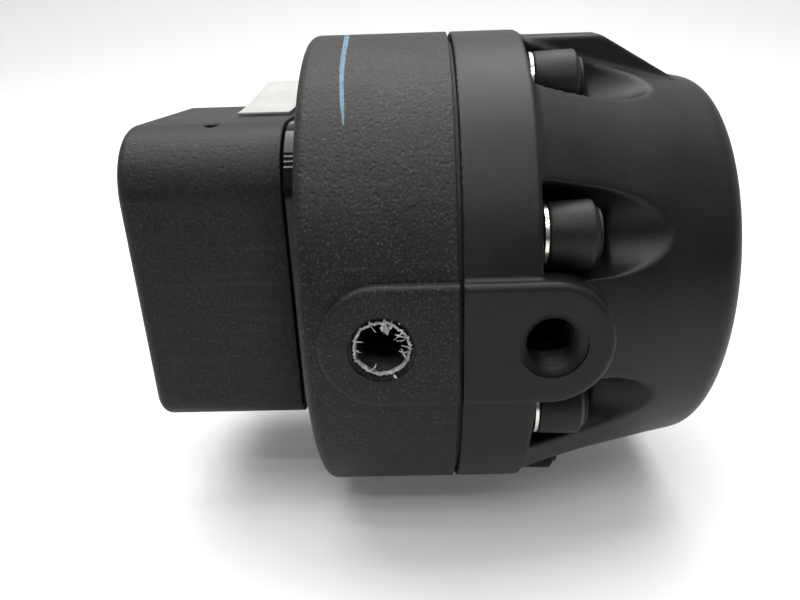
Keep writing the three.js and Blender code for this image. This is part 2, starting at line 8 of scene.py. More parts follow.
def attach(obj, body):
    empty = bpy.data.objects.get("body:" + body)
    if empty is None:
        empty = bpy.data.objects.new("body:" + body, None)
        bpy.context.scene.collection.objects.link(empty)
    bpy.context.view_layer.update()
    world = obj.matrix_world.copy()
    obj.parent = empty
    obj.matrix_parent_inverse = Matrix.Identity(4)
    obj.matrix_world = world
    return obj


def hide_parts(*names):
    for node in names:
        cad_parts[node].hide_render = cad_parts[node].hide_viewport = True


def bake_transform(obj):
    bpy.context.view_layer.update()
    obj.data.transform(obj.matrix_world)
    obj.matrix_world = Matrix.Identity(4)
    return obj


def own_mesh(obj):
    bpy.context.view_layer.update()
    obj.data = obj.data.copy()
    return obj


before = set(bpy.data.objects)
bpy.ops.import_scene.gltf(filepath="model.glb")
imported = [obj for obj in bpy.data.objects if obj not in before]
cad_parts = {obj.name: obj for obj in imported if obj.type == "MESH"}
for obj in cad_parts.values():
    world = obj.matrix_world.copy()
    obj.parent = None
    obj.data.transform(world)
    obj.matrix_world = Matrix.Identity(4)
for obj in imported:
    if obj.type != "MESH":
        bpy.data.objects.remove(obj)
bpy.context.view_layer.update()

random.seed(7)

# ---- millimetre coordinates of the drum (X = 0 at the parting plane, axis Y = Z = 0) ----
OX, OY, OZ = 61.5, 13.0, 34.2  # the drum's origin seen from the part's frame
DRUM_R = 65.8
DRUM_LEFT = -37.5
RIM_END = 18.5
CLAMP = 1.3
LIP = 0.45  # the casings close to a fine line outside the diaphragm
KX, KR = 39.8, 58.1
EX, ER = 69.9, 51.3
BOX_LEFT, BOX_RIGHT = -85.0, -43.1
BOX_FRONT, BOX_BACK = -37.5, 37.5
BOX_TOP, BOX_BOTTOM = 45.8, -34.2
BOLTS = [(22.5 + 45 * i) for i in range(8)]
BOLT_PCR = 57.0
PORT_L, PORT_R = -18.3, 21.0
PAD_FACE = -67.0


def P(x, y, z):
    return Vector(((x + OX) / 1000, (y + OY) / 1000, (z + OZ) / 1000))


# ---------------------------------------------------------------- mesh tools
def obj_from(name, verts, faces):
    me = bpy.data.meshes.new(name)
    me.from_pydata([tuple(v) for v in verts], [], faces)
    me.update()
    o = bpy.data.objects.new(name, me)
    bpy.context.scene.collection.objects.link(o)
    return o


def from_bm(name, bm):
    bmesh.ops.recalc_face_normals(bm, faces=bm.faces)
    me = bpy.data.meshes.new(name)
    bm.to_mesh(me)
    bm.free()
    o = bpy.data.objects.new(name, me)
    bpy.context.scene.collection.objects.link(o)
    return o


def lathe(name, prof, n=128, axis="X", c=(0.0, 0.0), phase=0.0):
    """Closed body of revolution from (along, radius) points."""
    verts, rings = [], []
    closed = prof[0][1] > 1e-6 or prof[-1][1] > 1e-6
    for a, r in prof:
        if r < 1e-6:
            rings.append([len(verts)])
            verts.append((a, 0.0, 0.0))
        else:
            ring = []
            for i in range(n):
                t = 2 * math.pi * i / n + phase
                ring.append(len(verts))
                verts.append((a, r * math.cos(t), r * math.sin(t)))
            rings.append(ring)
    faces = []
    pairs = list(zip(rings, rings[1:]))
    if closed:
        pairs.append((rings[-1], rings[0]))
    for A, B in pairs:
        if len(A) == 1 and len(B) == 1:
            continue
        for i in range(n):
            j = (i + 1) % n
            if len(A) == 1:
                faces.append((A[0], B[j], B[i]))
            elif len(B) == 1:
                faces.append((A[i], A[j], B[0]))
            else:
                faces.append((A[i], A[j], B[j], B[i]))
    out = []
    for a, u, v in verts:
        if axis == "X":
            out.append((a, u + c[0], v + c[1]))
        elif axis == "Y":
            out.append((v + c[0], a, u + c[1]))
        else:
            out.append((u + c[0], v + c[1], a))
    bm = bmesh.new()
    vs = [bm.verts.new(p) for p in out]
    for f in faces:
        bm.faces.new([vs[k] for k in f])
    return from_bm(name, bm)


def prism(name, pts, lo, hi, axis="X"):
    """Extrudes a closed outline. axis X: points are (y, z); axis Y: points are (x, z)."""
    bm = bmesh.new()
    rows = []
    for h in (lo, hi):
        row = []
        for a, b in pts:
            row.append(bm.verts.new((h, a, b) if axis == "X" else (a, h, b)))
        rows.append(row)
    n = len(pts)
    for i in range(n):
        j = (i + 1) % n
        bm.faces.new((rows[0][i], rows[0][j], rows[1][j], rows[1][i]))
    bm.faces.new(rows[0][::-1])
    bm.faces.new(rows[1])
    return from_bm(name, bm)


def evaluated(o):
    dg = bpy.context.evaluated_depsgraph_get()
    me = bpy.data.meshes.new_from_object(o.evaluated_get(dg))
    old = o.data
    o.modifiers.clear()
    o.data = me
    bpy.data.meshes.remove(old)


def boolean(a, op, *others):
    for b in others:
        m = a.modifiers.new("b", "BOOLEAN")
        m.operation = op
        m.solver = "EXACT"
        m.object = b
        evaluated(a)
        bpy.data.objects.remove(b)
    return a


def bevel(o, width, segments=3, angle=32):
    m = o.modifiers.new("bv", "BEVEL")
    m.width = width
    m.segments = segments
    m.limit_method = "ANGLE"
    m.angle_limit = math.radians(angle)
    m.use_clamp_overlap = True
    evaluated(o)
    return o


def tidy(o, dist=0.0005):
    bm = bmesh.new()
    bm.from_mesh(o.data)
    bmesh.ops.remove_doubles(bm, verts=bm.verts, dist=dist)
    bmesh.ops.dissolve_degenerate(bm, edges=bm.edges, dist=dist)
    bmesh.ops.recalc_face_normals(bm, faces=bm.faces)
    bm.to_mesh(o.data)
    bm.free()
    return o


def smooth(o, angle=35):
    for p in o.data.polygons:
        p.use_smooth = True
    o.data.set_sharp_from_angle(angle=math.radians(angle))
    return o


def place(o, body, material, *nodes, slot=None, angle=35, to_frame=True):
    if to_frame:
        o.data.transform(
            Matrix.Scale(0.001, 4) @ Matrix.Translation((OX, OY, OZ))
        )
    smooth(o, angle)
    o.data.materials.clear()
    o.data.materials.append(material)
    if body:
        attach(o, body)
    if nodes:
        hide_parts(*nodes)
    return o


def arc(cx, cy, r, a0, a1, n):
    return [
        (
            cx + r * math.cos(math.radians(a0 + (a1 - a0) * i / n)),
            cy + r * math.sin(math.radians(a0 + (a1 - a0) * i / n)),
        )
        for i in range(n + 1)
    ]


# ---------------------------------------------------------------- materials
def nodes_of(name):
    m = bpy.data.materials.new(name)
    m.use_nodes = True
    nt = m.node_tree
    nt.nodes.clear()
    out = nt.nodes.new("ShaderNodeOutputMaterial")
    b = nt.nodes.new("ShaderNodeBsdfPrincipled")
    nt.links.new(b.outputs[0], out.inputs[0])
    tc = nt.nodes.new("ShaderNodeTexCoord")
    return m, nt, b, tc


def mapped(nt, tc, scale):
    mp = nt.nodes.new("ShaderNodeMapping")
    mp.inputs["Scale"].default_value = scale
    nt.links.new(tc.outputs["Object"], mp.inputs["Vector"])
    return mp.outputs[0]


def noise_tex(nt, vec, scale, detail=4, rough=0.55, dist=0.0):
    n = nt.nodes.new("ShaderNodeTexNoise")
    n.inputs["Scale"].default_value = scale
    n.inputs["Detail"].default_value = detail
    n.inputs["Roughness"].default_value = rough
    n.inputs["Distortion"].default_value = dist
    nt.links.new(vec, n.inputs["Vector"])
    return n.outputs["Fac"]


def ramp(nt, fac, stops):
    r = nt.nodes.new("ShaderNodeValToRGB")
    while len(r.color_ramp.elements) > len(stops):
        r.color_ramp.elements.remove(r.color_ramp.elements[-1])
    while len(r.color_ramp.elements) < len(stops):
        r.color_ramp.elements.new(1.0)
    for e, (p, c) in zip(r.color_ramp.elements, stops):
        e.position = p
        e.color = c if len(c) == 4 else (*c, 1)
    nt.links.new(fac, r.inputs[0])
    return r.outputs[0]


def g(v):
    return (v, v, v, 1)


def mix(nt, fac, a, b):
    m = nt.nodes.new("ShaderNodeMix")
    m.data_type = "RGBA"
    if isinstance(fac, float):
        m.inputs[0].default_value = fac
    else:
        nt.links.new(fac, m.inputs[0])
    for i, s in ((6, a), (7, b)):
        if isinstance(s, tuple):
            m.inputs[i].default_value = s if len(s) == 4 else (*s, 1)
        else:
            nt.links.new(s, m.inputs[i])
    return m.outputs[2]


def math_node(nt, op, a, b=None):
    m = nt.nodes.new("ShaderNodeMath")
    m.operation = op
    for i, s in enumerate((a, b)):
        if s is None:
            continue
        if isinstance(s, (int, float)):
            m.inputs[i].default_value = s
        else:
            nt.links.new(s, m.inputs[i])
    return m.outputs[0]


def bump(nt, b, height, strength, dist):
    bp = nt.nodes.new("ShaderNodeBump")
    bp.inputs["Strength"].default_value = strength
    bp.inputs["Distance"].default_value = dist
    nt.links.new(height, bp.inputs["Height"])
    nt.links.new(bp.outputs[0], b.inputs["Normal"])


def plastic(name, base, warm, rough_lo, rough_hi, pits, dusty, streak=True, grain=2600.0, strength=0.5):
    """Glass-fibre-filled black moulding: speckle, flow streaks, fine pits, pale scuffs."""
    m, nt, b, tc = nodes_of(name)
    vec = mapped(nt, tc, (1, 1, 1))
    speck = noise_tex(nt, vec, grain, 3, 0.65)
    cloud = noise_tex(nt, vec, 55.0, 5, 0.6, 0.4)
    lo = (base * 0.72, base * 0.72, base * 0.72, 1)
    hi = (base * 1.35 * warm, base * 1.33, base * 1.3 / warm, 1)
    col = mix(nt, ramp(nt, cloud, [(0.3, g(0)), (0.7, g(1))]), lo, hi)
    col = mix(nt, ramp(nt, speck, [(0.55, g(0)), (0.70, g(dusty))]), col, (0.11, 0.105, 0.095))
    scuffvec = mapped(nt, tc, (1.0, 1.0, 1.0))
    scuff = noise_tex(nt, scuffvec, 150.0, 6, 0.72, 1.5)
    col = mix(nt, ramp(nt, scuff, [(0.63, g(0)), (0.80, g(dusty * 0.9))]), col, (0.085, 0.082, 0.075))
    if streak:
        fl = noise_tex(nt, mapped(nt, tc, (35, 420, 420)), 1.0, 3, 0.5, 0.3)
        col = mix(nt, ramp(nt, fl, [(0.55, g(0)), (0.8, g(0.3))]), col, (0.04, 0.039, 0.036))
    nt.links.new(col, b.inputs["Base Color"])
    r = nt.nodes.new("ShaderNodeMapRange")
    r.inputs["To Min"].default_value = rough_lo
    r.inputs["To Max"].default_value = rough_hi
    nt.links.new(cloud, r.inputs["Value"])
    nt.links.new(r.outputs[0], b.inputs["Roughness"])
    v = nt.nodes.new("ShaderNodeTexVoronoi")
    v.inputs["Scale"].default_value = grain * 0.42
    nt.links.new(vec, v.inputs["Vector"])
    pit = ramp(nt, v.outputs["Distance"], [(0.0, g(0)), (0.45, g(1))])
    h = math_node(nt, "ADD", math_node(nt, "MULTIPLY", pit, pits), math_node(nt, "MULTIPLY", speck, 0.8))
    h = math_node(nt, "ADD", h, math_node(nt, "MULTIPLY", scuff, 0.5))
    bump(nt, b, h, strength, 0.00016)
    b.inputs["Specular IOR Level"].default_value = 0.22
    return m


def metal(name, color, rough, scale=(400, 400, 2600), metallic=1.0):
    m, nt, b, tc = nodes_of(name)
    vec = mapped(nt, tc, scale)
    n1 = noise_tex(nt, vec, 1.0, 4, 0.6)
    n2 = noise_tex(nt, mapped(nt, tc, (1, 1, 1)), 90.0, 4, 0.6)
    c0 = tuple(c * 0.78 for c in color) + (1,)
    nt.links.new(mix(nt, ramp(nt, n2, [(0.3, g(0)), (0.75, g(1))]), c0, (*color, 1)), b.inputs["Base Color"])
    r = nt.nodes.new("ShaderNodeMapRange")
    r.inputs["To Min"].default_value = rough * 0.75
    r.inputs["To Max"].default_value = min(1.0, rough * 1.35)
    nt.links.new(n1, r.inputs["Value"])
    nt.links.new(r.outputs[0], b.inputs["Roughness"])
    b.inputs["Metallic"].default_value = metallic
    bump(nt, b, n1, 0.25, 0.00003)
    return m


def simple(name, c0, c1, rough, scale, strength=0.3, dist=0.00008):
    m, nt, b, tc = nodes_of(name)
    n = noise_tex(nt, mapped(nt, tc, (1, 1, 1)), scale, 5, 0.6)
    nt.links.new(mix(nt, ramp(nt, n, [(0.35, g(0)), (0.65, g(1))]), (*c0, 1), (*c1, 1)), b.inputs["Base Color"])
    b.inputs["Roughness"].default_value = rough
    bump(nt, b, n, strength, dist)
    return m


M_CASING = plastic("casing_black", 0.006, 1.05, 0.42, 0.60, 0.9, 0.42, grain=1700.0, strength=0.75)
M_COVER = plastic("cover_black", 0.006, 1.04, 0.36, 0.50, 0.35, 0.09, streak=False, grain=2900.0, strength=0.3)
M_HOUSING = plastic("housing_black", 0.006, 1.05, 0.42, 0.58, 0.7, 0.24, grain=1900.0, strength=0.65)
M_CAP = plastic("cap_black", 0.008, 1.0, 0.40, 0.52, 0.5, 0.05, streak=False, grain=3000.0, strength=0.3)
M_NECK = plastic("neck_gloss", 0.006, 1.0, 0.05, 0.10, 0.05, 0.02, streak=False, grain=900.0, strength=0.03)
M_RUBBER = simple("diaphragm_rubber", (0.010, 0.0095, 0.009), (0.026, 0.023, 0.018), 0.6, 320.0, 0.5)
M_WASHER = metal("zinc_bright", (0.80, 0.78, 0.72), 0.22)
M_STEEL = metal("steel", (0.62, 0.61, 0.58), 0.32)
M_SPRING = metal("spring_wire", (0.40, 0.39, 0.37), 0.36)
M_PLATE = metal("pressed_plate", (0.60, 0.60, 0.58), 0.38)
M_BRONZE = metal("bronze", (0.62, 0.42, 0.20), 0.34)
M_TAG = metal("tag_aluminium", (0.42, 0.425, 0.415), 0.6, (900, 60, 900), 0.35)
M_PALE = simple("pale_polymer", (0.62, 0.58, 0.48), (0.72, 0.69, 0.60), 0.5, 120.0)
M_BLUE = simple("blue_paint", (0.035, 0.095, 0.15), (0.10, 0.21, 0.29), 0.6, 900.0, 0.7, 0.00012)
M_TAPE = simple("thread_tape", (0.22, 0.225, 0.23), (0.62, 0.62, 0.62), 0.7, 700.0, 0.8, 0.0002)

FINISH = {
    "rack_rod": M_STEEL, "rod_nut": M_STEEL, "rod_washer": M_STEEL, "output_shaft": M_STEEL,
    "diaphragm_plate_air_side": M_PLATE, "diaphragm_plate_spring_side": M_PLATE, "spring_seat": M_PLATE,
    "rod_bush": M_BRONZE, "upper_bush": M_BRONZE, "lower_bush": M_BRONZE,
    "rod_seal": M_RUBBER, "shaft_seal": M_RUBBER,
    "seal_retaining_ring": M_STEEL, "bush_retaining_ring": M_STEEL,
    "thrust_washer": M_PALE, "rack_support_pad": M_PALE,
    "return_spring_outer": M_SPRING, "return_spring_inner": M_SPRING, "diaphragm": M_RUBBER,
}
for node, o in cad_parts.items():
    mat = FINISH.get(node, M_STEEL)
    for s in o.material_slots:
        s.material = mat

# ---------------------------------------------------------------- drum
def pad(name, x0, x1, inset=0.0, y_face=PAD_FACE, depth=16.0):
    """Stadium-ended pad with a rounded front edge, from x0 to x1."""
    r0 = 15.0 - inset
    a, b = -33.5 + 15.0, 35.5 - 15.0
    bm = bmesh.new()
    rows = []
    steps = [(0.0, 1.6), (0.25, 0.8), (0.7, 0.28), (1.5, 0.0), (depth, 0.0)]
    for d, e in steps:
        r = r0 - e
        pts = [(b + r * math.cos(t), r * math.sin(t)) for t in [(-90 + 180 * i / 28) * math.pi / 180 for i in range(29)]]
        pts += [(a + r * math.cos(t), r * math.sin(t)) for t in [(90 + 180 * i / 28) * math.pi / 180 for i in range(29)]]
        rows.append([bm.verts.new((x, y_face + d, z)) for x, z in pts])
    for A, B in zip(rows, rows[1:]):
        for i in range(len(A)):
            j = (i + 1) % len(A)
            bm.faces.new((A[i], A[j], B[j], B[i]))
    bm.faces.new(rows[0])
    bm.faces.new(rows[-1][::-1])
    o = from_bm(name, bm)
    clip = prism("clip", [(-120, -60), (0, -60), (0, 60), (-120, 60)], x0, x1)
    return boolean(o, "INTERSECT", clip)


def thread(name, x, depth, mouth_r=8.0):
    """Port cutter: counterbore, chamfer and ringed thread."""
    prof = [(PAD_FACE - 3, 0.0), (PAD_FACE - 3, mouth_r), (PAD_FACE + 1.0, mouth_r), (PAD_FACE + 1.5, 7.0)]
    y = PAD_FACE + 1.9
    prof.append((y, 6.5))
    while y < PAD_FACE + 15:
        prof += [(y + 0.45, 5.95), (y + 0.65, 5.95), (y + 1.15, 6.5), (y + 1.337, 6.5)]
        y += 1.337
    prof += [(y + 0.3, 5.9), (depth, 5.9), (depth, 0.0)]
    return lathe(name, prof, 72, "Y", (x, 0.0))


def rod(x0, x1, r, ang=None, n=40):
    c = (0.0, 0.0)
    if ang is not None:
        c = (-BOLT_PCR * math.cos(math.radians(ang)), BOLT_PCR * math.sin(math.radians(ang)))
    return lathe("rod", [(x0, 0.0), (x0, r), (x1, r), (x1, 0.0)], n, "X", c)


# lower casing
prof = [(DRUM_LEFT, 0.0), (DRUM_LEFT, 20.0), (DRUM_LEFT, 45.0)]
prof += arc(DRUM_LEFT + 3, DRUM_R - 3, 3.0, 180, 90, 8)
prof += [(-20.0, DRUM_R), (-1.4, DRUM_R)] + arc(-LIP - 0.35, DRUM_R - 0.35, 0.35, 90, 0, 3) + [(-LIP, DRUM_R - 2.2), (-CLAMP, DRUM_R - 2.2), (-CLAMP, 40.0), (-CLAMP, 0.0)]
casing = lathe("casing_shell", prof, 224)
boolean(casing, "UNION", pad("pad_l", -60, -LIP))
boolean(casing, "DIFFERENCE", lathe("lipcut", [(-CLAMP, 0.0), (-CLAMP, DRUM_R - 2.2), (2.0, DRUM_R - 2.2), (2.0, 0.0)], 224))
boolean(
    casing, "DIFFERENCE",
    lathe("cav", [(-31.5, 0.0), (-31.5, 49.0), (-30.5, 50.0), (1.0, 50.0), (1.0, 0.0)], 96),
)
boolean(casing, "UNION", rod(-32.5, -26.0, 19.0))
boolean(casing, "DIFFERENCE", rod(-40, -24, 12.3, n=64), thread("port_l", PORT_L, -40.0))
boolean(casing, "DIFFERENCE", *[rod(-18, 0, 3.4, a, 24) for a in BOLTS])
for y, z in ((-32, 30), (32, 30), (-32, -20), (32, -20)):
    boolean(casing, "DIFFERENCE", lathe("h", [(-40, 0.0), (-40, 2.8), (-29, 2.8), (-29, 0.0)], 24, "X", (y, z)))
tidy(casing)
place(casing, "housing", M_CASING, "lower_casing", angle=38)

# spring cover: outer form, softened, then hollowed
prof = [(LIP, 0.0), (LIP, 40.0)] + arc(LIP + 0.35, DRUM_R - 0.35, 0.35, 180, 90, 3)
prof += [(RIM_END - 0.9, DRUM_R)] + arc(RIM_END - 0.9, DRUM_R - 0.9, 0.9, 90, 20, 3) + [(RIM_END + 0.3, DRUM_R - 1.3)]
for k in range(1, 7):
    t = k / 6
    prof.append((RIM_END + 0.3 + (KX - RIM_END - 0.3) * t, DRUM_R - 1.3 + (KR - DRUM_R + 1.3) * t - 0.25 * math.sin(math.pi * t)))
slope = math.atan2(KR - ER, EX - KX)
for k in range(1, 5):
    t = k / 5
    prof.append((KX + (EX - 7 - KX) * t, KR + (ER + 1.6 - KR) * t))
prof += arc(EX - 6.5, ER - 5.0, 6.5, 78, 0, 8)
prof += [(EX, 20.0), (EX, 0.0)]
cover = lathe("cover_shell", prof, 256)


def pocket(ang):
    """U-shaped scoop whose floor rises towards the closed end and whose far end fades out."""
    bm = bmesh.new()
    rows = []
    h0 = 11.1
    x0, x1, n = RIM_END, RIM_END + 54, 27
    for k in range(n + 1):
        x = x0 + (x1 - x0) * k / n
        d = x - x0
        h = h0 * (1 - 0.0056 * d)
        lift = d * math.tan(math.radians(13.0)) + 0.0012 * d * d
        r = BOLT_PCR - 0.8 + lift
        pts = [(-h - 1.2, r + 30), (-h - 0.4, r + 8), (-h, r)]
        pts += [(h * math.cos(t), r + h * math.sin(t)) for t in [math.radians(180 + 180 * i / 24) for i in range(1, 24)]]
        pts += [(h, r), (h + 0.4, r + 8), (h + 1.2, r + 30)]
        rows.append([bm.verts.new((x, u, v)) for u, v in pts])
    m = len(rows[0])
    for A, B in zip(rows, rows[1:]):
        for i in range(m):
            j = (i + 1) % m
            bm.faces.new((A[i], A[j], B[j], B[i]))
    bm.faces.new(rows[0])
    bm.faces.new(rows[-1][::-1])
    # local v is radial: turn it to the bolt's direction (angle from -Y towards +Z)
    t = math.radians(ang)
    rad = Vector((0, -math.cos(t), math.sin(t)))
    tan = Vector((0, -math.sin(t), -math.cos(t)))
    for v in bm.verts:
        x, u, w = v.co
        v.co = Vector((x, 0, 0)) + tan * u + rad * w
    return from_bm("pocket", bm)


crest = prism(
    "crest",
    [(14.0, 40.0), (EX - 14, 40.0), (EX - 5, 50.0), (38.5, DRUM_R - 1.3), (14.0, DRUM_R - 1.3)],
    -12.0, 12.0, "Y",
)
boolean(crest, "INTERSECT", lathe("cr", [(14.0, 0.0), (14.0, DRUM_R - 0.9), (EX, DRUM_R - 0.9), (EX, 0.0)], 256))
boolean(cover, "UNION", crest)
boolean(cover, "DIFFERENCE", *[pocket(a) for a in BOLTS])
boolean(cover, "UNION", pad("pad_r", LIP, 60))
boolean(cover, "DIFFERENCE", *[rod(RIM_END, RIM_END + 17, 8.8, a, 48) for a in BOLTS])
rm = cover.modifiers.new("r", "REMESH")
rm.mode = "VOXEL"
rm.voxel_size = 0.62
evaluated(cover)
# soften the cone's edges; the rim and the pad keep theirs
vg = cover.vertex_groups.new(name="soft")
for v in cover.data.vertices:
    x, y, z = v.co
    w = 0.0
    if x > RIM_END + 1.2 and not (y < -56 and abs(z) < 17 and x < 38):
        w = min(1.0, (x - RIM_END - 1.2) / 2.0)
    vg.add([v.index], max(w, 0.0), "REPLACE")
sm = cover.modifiers.new("s", "SMOOTH")
sm.factor = 0.5
sm.iterations = 14
sm.vertex_group = "soft"
sm2 = cover.modifiers.new("s2", "SMOOTH")
sm2.factor = 0.5
sm2.iterations = 2
evaluated(cover)
cover.vertex_groups.clear()
boolean(
    cover, "DIFFERENCE",
    lathe("cav2", [(-1, 0.0), (-1, 50.0), (10, 50.0), (17, 39.0), (24, 37.5), (62.5, 36.0), (62.5, 0.0)], 96),
    prism("face", [(-80, -80), (80, -80), (80, 80), (-80, 80)], -5, LIP + 0.02),
    lathe("lipcut2", [(-2.0, 0.0), (-2.0, DRUM_R - 2.2), (CLAMP, DRUM_R - 2.2), (CLAMP, 0.0)], 224),
    thread("port_r", PORT_R, -30.0),
)
boolean(cover, "DIFFERENCE", *[rod(-2, RIM_END + 1, 3.6, a, 24) for a in BOLTS])
tidy(cover)
place(cover, "housing", M_COVER, "spring_cover", angle=50)

# ---------------------------------------------------------------- rim of the diaphragm and its moving web
def diaphragm():
    prof = [(-1.0, DRUM_R - 2.9), (-1.0, 49.0)]
    prof += [(-1 - 19.2 * t, 49 - 13.5 * t) for t in (0.08, 0.2, 0.35, 0.5, 0.65, 0.8, 0.92, 1.0)]
    prof += [(-20.2, 20.0), (-20.2, 5.4), (-18.2, 5.4), (-18.2, 20.0)]
    prof += [(-18.2 + 19.2 * t, 36.2 + 14.2 * t) for t in (0.0, 0.08, 0.2, 0.35, 0.5, 0.65, 0.8, 0.92, 1.0)]
    prof += [(1.0, DRUM_R - 2.9), (0.6, DRUM_R - 2.5), (-0.6, DRUM_R - 2.5)]
    o = lathe("diaphragm_web", prof, 192)
    boolean(o, "DIFFERENCE", *[rod(-2, 2, 3.7, a, 24) for a in BOLTS])
    tidy(o)
    return o


dia = diaphragm()
place(dia, None, M_RUBBER, "diaphragm", angle=40)
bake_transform(dia)

# ---------------------------------------------------------------- springs
def spring(name, radius, wire, x0, x1, turns, node):
    n = int(turns * 40)
    sides = 12
    bm = bmesh.new()
    rows = []
    for i in range(n + 1):
        t = i / n
        k = t * turns
        # closed and ground ends: the first and last half turn barely rise
        s = t
        e = 0.6 / turns
        if t < e:
            s = t * 0.35
        elif t > 1 - e:
            s = 1 - (1 - t) * 0.35
        else:
            s = e * 0.35 + (t - e) * (1 - 0.7 * e) / (1 - 2 * e)
        a = 2 * math.pi * k
        x = x0 + wire + (x1 - x0 - 2 * wire) * s
        c = Vector((x, radius * math.cos(a), radius * math.sin(a)))
        out = Vector((0, math.cos(a), math.sin(a)))
        row = []
        for j in range(sides):
            b = 2 * math.pi * j / sides
            row.append(bm.verts.new(c + out * (wire * math.cos(b)) + Vector((wire * math.sin(b), 0, 0))))
        rows.append(row)
    for A, B in zip(rows, rows[1:]):
        for j in range(sides):
            q = (j + 1) % sides
            bm.faces.new((A[j], A[q], B[q], B[j]))
    bm.faces.new(rows[0][::-1])
    bm.faces.new(rows[-1])
    o = from_bm(name, bm)
    place(o, "housing", M_SPRING, node, angle=60)
    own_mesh(o)
    return o


spring("spring_wire_outer", 27, 2.2, -14.3, 58.9, 6, "return_spring_outer")
spring("spring_wire_inner", 16.2, 1.6, -14.3, 58.9, 7.5, "return_spring_inner")

# ---------------------------------------------------------------- gearbox
def section(inset, rtf=18.0, rbf=8.0, rb=7.0):
    y0, y1 = BOX_FRONT + inset, BOX_BACK - inset
    z0, z1 = BOX_BOTTOM + inset, BOX_TOP - inset
    a, b, c = max(rtf - inset, 1), max(rbf - inset, 1), max(rb - inset, 1)
    p = arc(y0 + b, z0 + b, b, 180, 270, 10)
    p += arc(y1 - c, z0 + c, c, 270, 360, 10)
    p += arc(y1 - c, z1 - c, c, 0, 90, 10)
    p += arc(y0 + a, z1 - a, a, 90, 180, 20)
    return p


def box_solid(name, rows):
    """rows: (x, inset) stations of the rounded section."""
    bm = bmesh.new()
    vs = [[bm.verts.new((x, y, z)) for y, z in section(i)] for x, i in rows]
    n = len(vs[0])
    for A, B in zip(vs, vs[1:]):
        for i in range(n):
            j = (i + 1) % n
            bm.faces.new((A[i], A[j], B[j], B[i]))
    bm.faces.new(vs[0][::-1])
    bm.faces.new(vs[-1])
    return from_bm(name, bm)


R = 3.0
rows = [(BOX_LEFT + R * (1 - math.sin(math.radians(a))), R * (1 - math.cos(math.radians(a)))) for a in (90, 78, 64, 50, 36, 22, 10, 0)]
rows += [(BOX_LEFT + 16, 0.0), (BOX_RIGHT - 12, 0.0), (BOX_RIGHT - 0.5, 0.0), (BOX_RIGHT - 0.15, 0.15), (BOX_RIGHT, 0.5)]
hous = box_solid("gearbox_shell", rows)
inner = box_solid("inner", [(BOX_LEFT + 3.3, 4.0), (BOX_RIGHT + 5, 4.0)])
keep_mid = prism("mid", [(-60, -14.5), (60, -14.5), (60, 14.5), (-60, 14.5)], -100, 0)
boolean(inner, "DIFFERENCE", keep_mid)
SX, SY = -61.5, -13.0
hub = lathe("hub", [(-60, 0.0), (-60, 16.5), (0, 16.5), (0, 14), (60, 14), (60, 0.0)], 64, "Z", (SX, SY))
boolean(inner, "DIFFERENCE", hub)
boolean(hous, "DIFFERENCE", inner)
boolean(
    hous, "DIFFERENCE",
    prism("slot", [(SY - 11.5, -9.8), (9.6, -9.8), (9.6, 9.8), (SY - 11.5, 9.8)], BOX_LEFT + 3.3, BOX_RIGHT + 5),
    prism("slot2", [(8, -6.3), (13.6, -6.3), (13.6, 6.3), (8, 6.3)], SX - 10.3, SX + 10.3),
    lathe("ub", [(0, 0.0), (0, 10), (30.4, 10), (30.4, 0.0)], 64, "Z", (SX, SY)),
    lathe("lb", [(-60, 0.0), (-60, 13.1), (BOX_BOTTOM + 0.5, 12.6), (0, 12.6), (0, 0.0)], 64, "Z", (SX, SY)),
    lathe("vent", [(30, 0.0), (30, 2.0), (BOX_TOP - 0.5, 2.0), (BOX_TOP + 0.3, 2.9), (60, 2.9), (60, 0.0)], 40, "Z", (-62.3, -22.5)),
    *[lathe("ph", [(-60, 0.0), (-60, 2.6), (BOX_BOTTOM + 11, 2.6), (BOX_BOTTOM + 12.4, 0.0)], 32, "Z", c) for c in ((-76.2, -24), (-74.7, 24), (-55, 24))],
)
tidy(hous)
place(hous, "housing", M_HOUSING, "gearbox_housing", angle=32)

neck = box_solid("neck_shell", [(BOX_RIGHT + 0.3, 1.1), (BOX_RIGHT + 0.7, 0.6), (DRUM_LEFT - 0.6, 0.6), (DRUM_LEFT - 0.3, 0.8)])
boolean(neck, "DIFFERENCE", box_solid("ni", [(BOX_RIGHT - 3, 5.0), (DRUM_LEFT + 3, 5.0)]))
tidy(neck)
place(neck, "housing", M_NECK, "neck_frame", angle=32)

# ---------------------------------------------------------------- nameplate: blank, bent up at the far end
def tag():
    bm = bmesh.new()
    nx, ny, t = 10, 44, 0.75
    x0, x1, y0, y1 = -59.4, -44.5, -4.9, 25.9
    grid = {}
    for k in range(2):
        for i in range(nx + 1):
            for j in range(ny + 1):
                u, v = i / nx, j / ny
                x = x0 + (x1 - x0) * u + 0.12 * 31 * v
                y = y0 + (y1 - y0) * v
                z = BOX_TOP + 0.3 + 6.75 * v ** 1.3 * (0.96 + 0.04 * u)
                grid[k, i, j] = bm.verts.new((x, y, z + k * t))
    for i in range(nx):
        for j in range(ny):
            bm.faces.new((grid[0, i, j], grid[0, i, j + 1], grid[0, i + 1, j + 1], grid[0, i + 1, j]))
            bm.faces.new((grid[1, i, j], grid[1, i + 1, j], grid[1, i + 1, j + 1], grid[1, i, j + 1]))
    for i in range(nx):
        bm.faces.new((grid[0, i, 0], grid[0, i + 1, 0], grid[1, i + 1, 0], grid[1, i, 0]))
        bm.faces.new((grid[0, i + 1, ny], grid[0, i, ny], grid[1, i, ny], grid[1, i + 1, ny]))
    for j in range(ny):
        bm.faces.new((grid[0, 0, j + 1], grid[0, 0, j], grid[1, 0, j], grid[1, 0, j + 1]))
        bm.faces.new((grid[0, nx, j], grid[0, nx, j + 1], grid[1, nx, j + 1], grid[1, nx, j]))
    return from_bm("nameplate_sheet", bm)


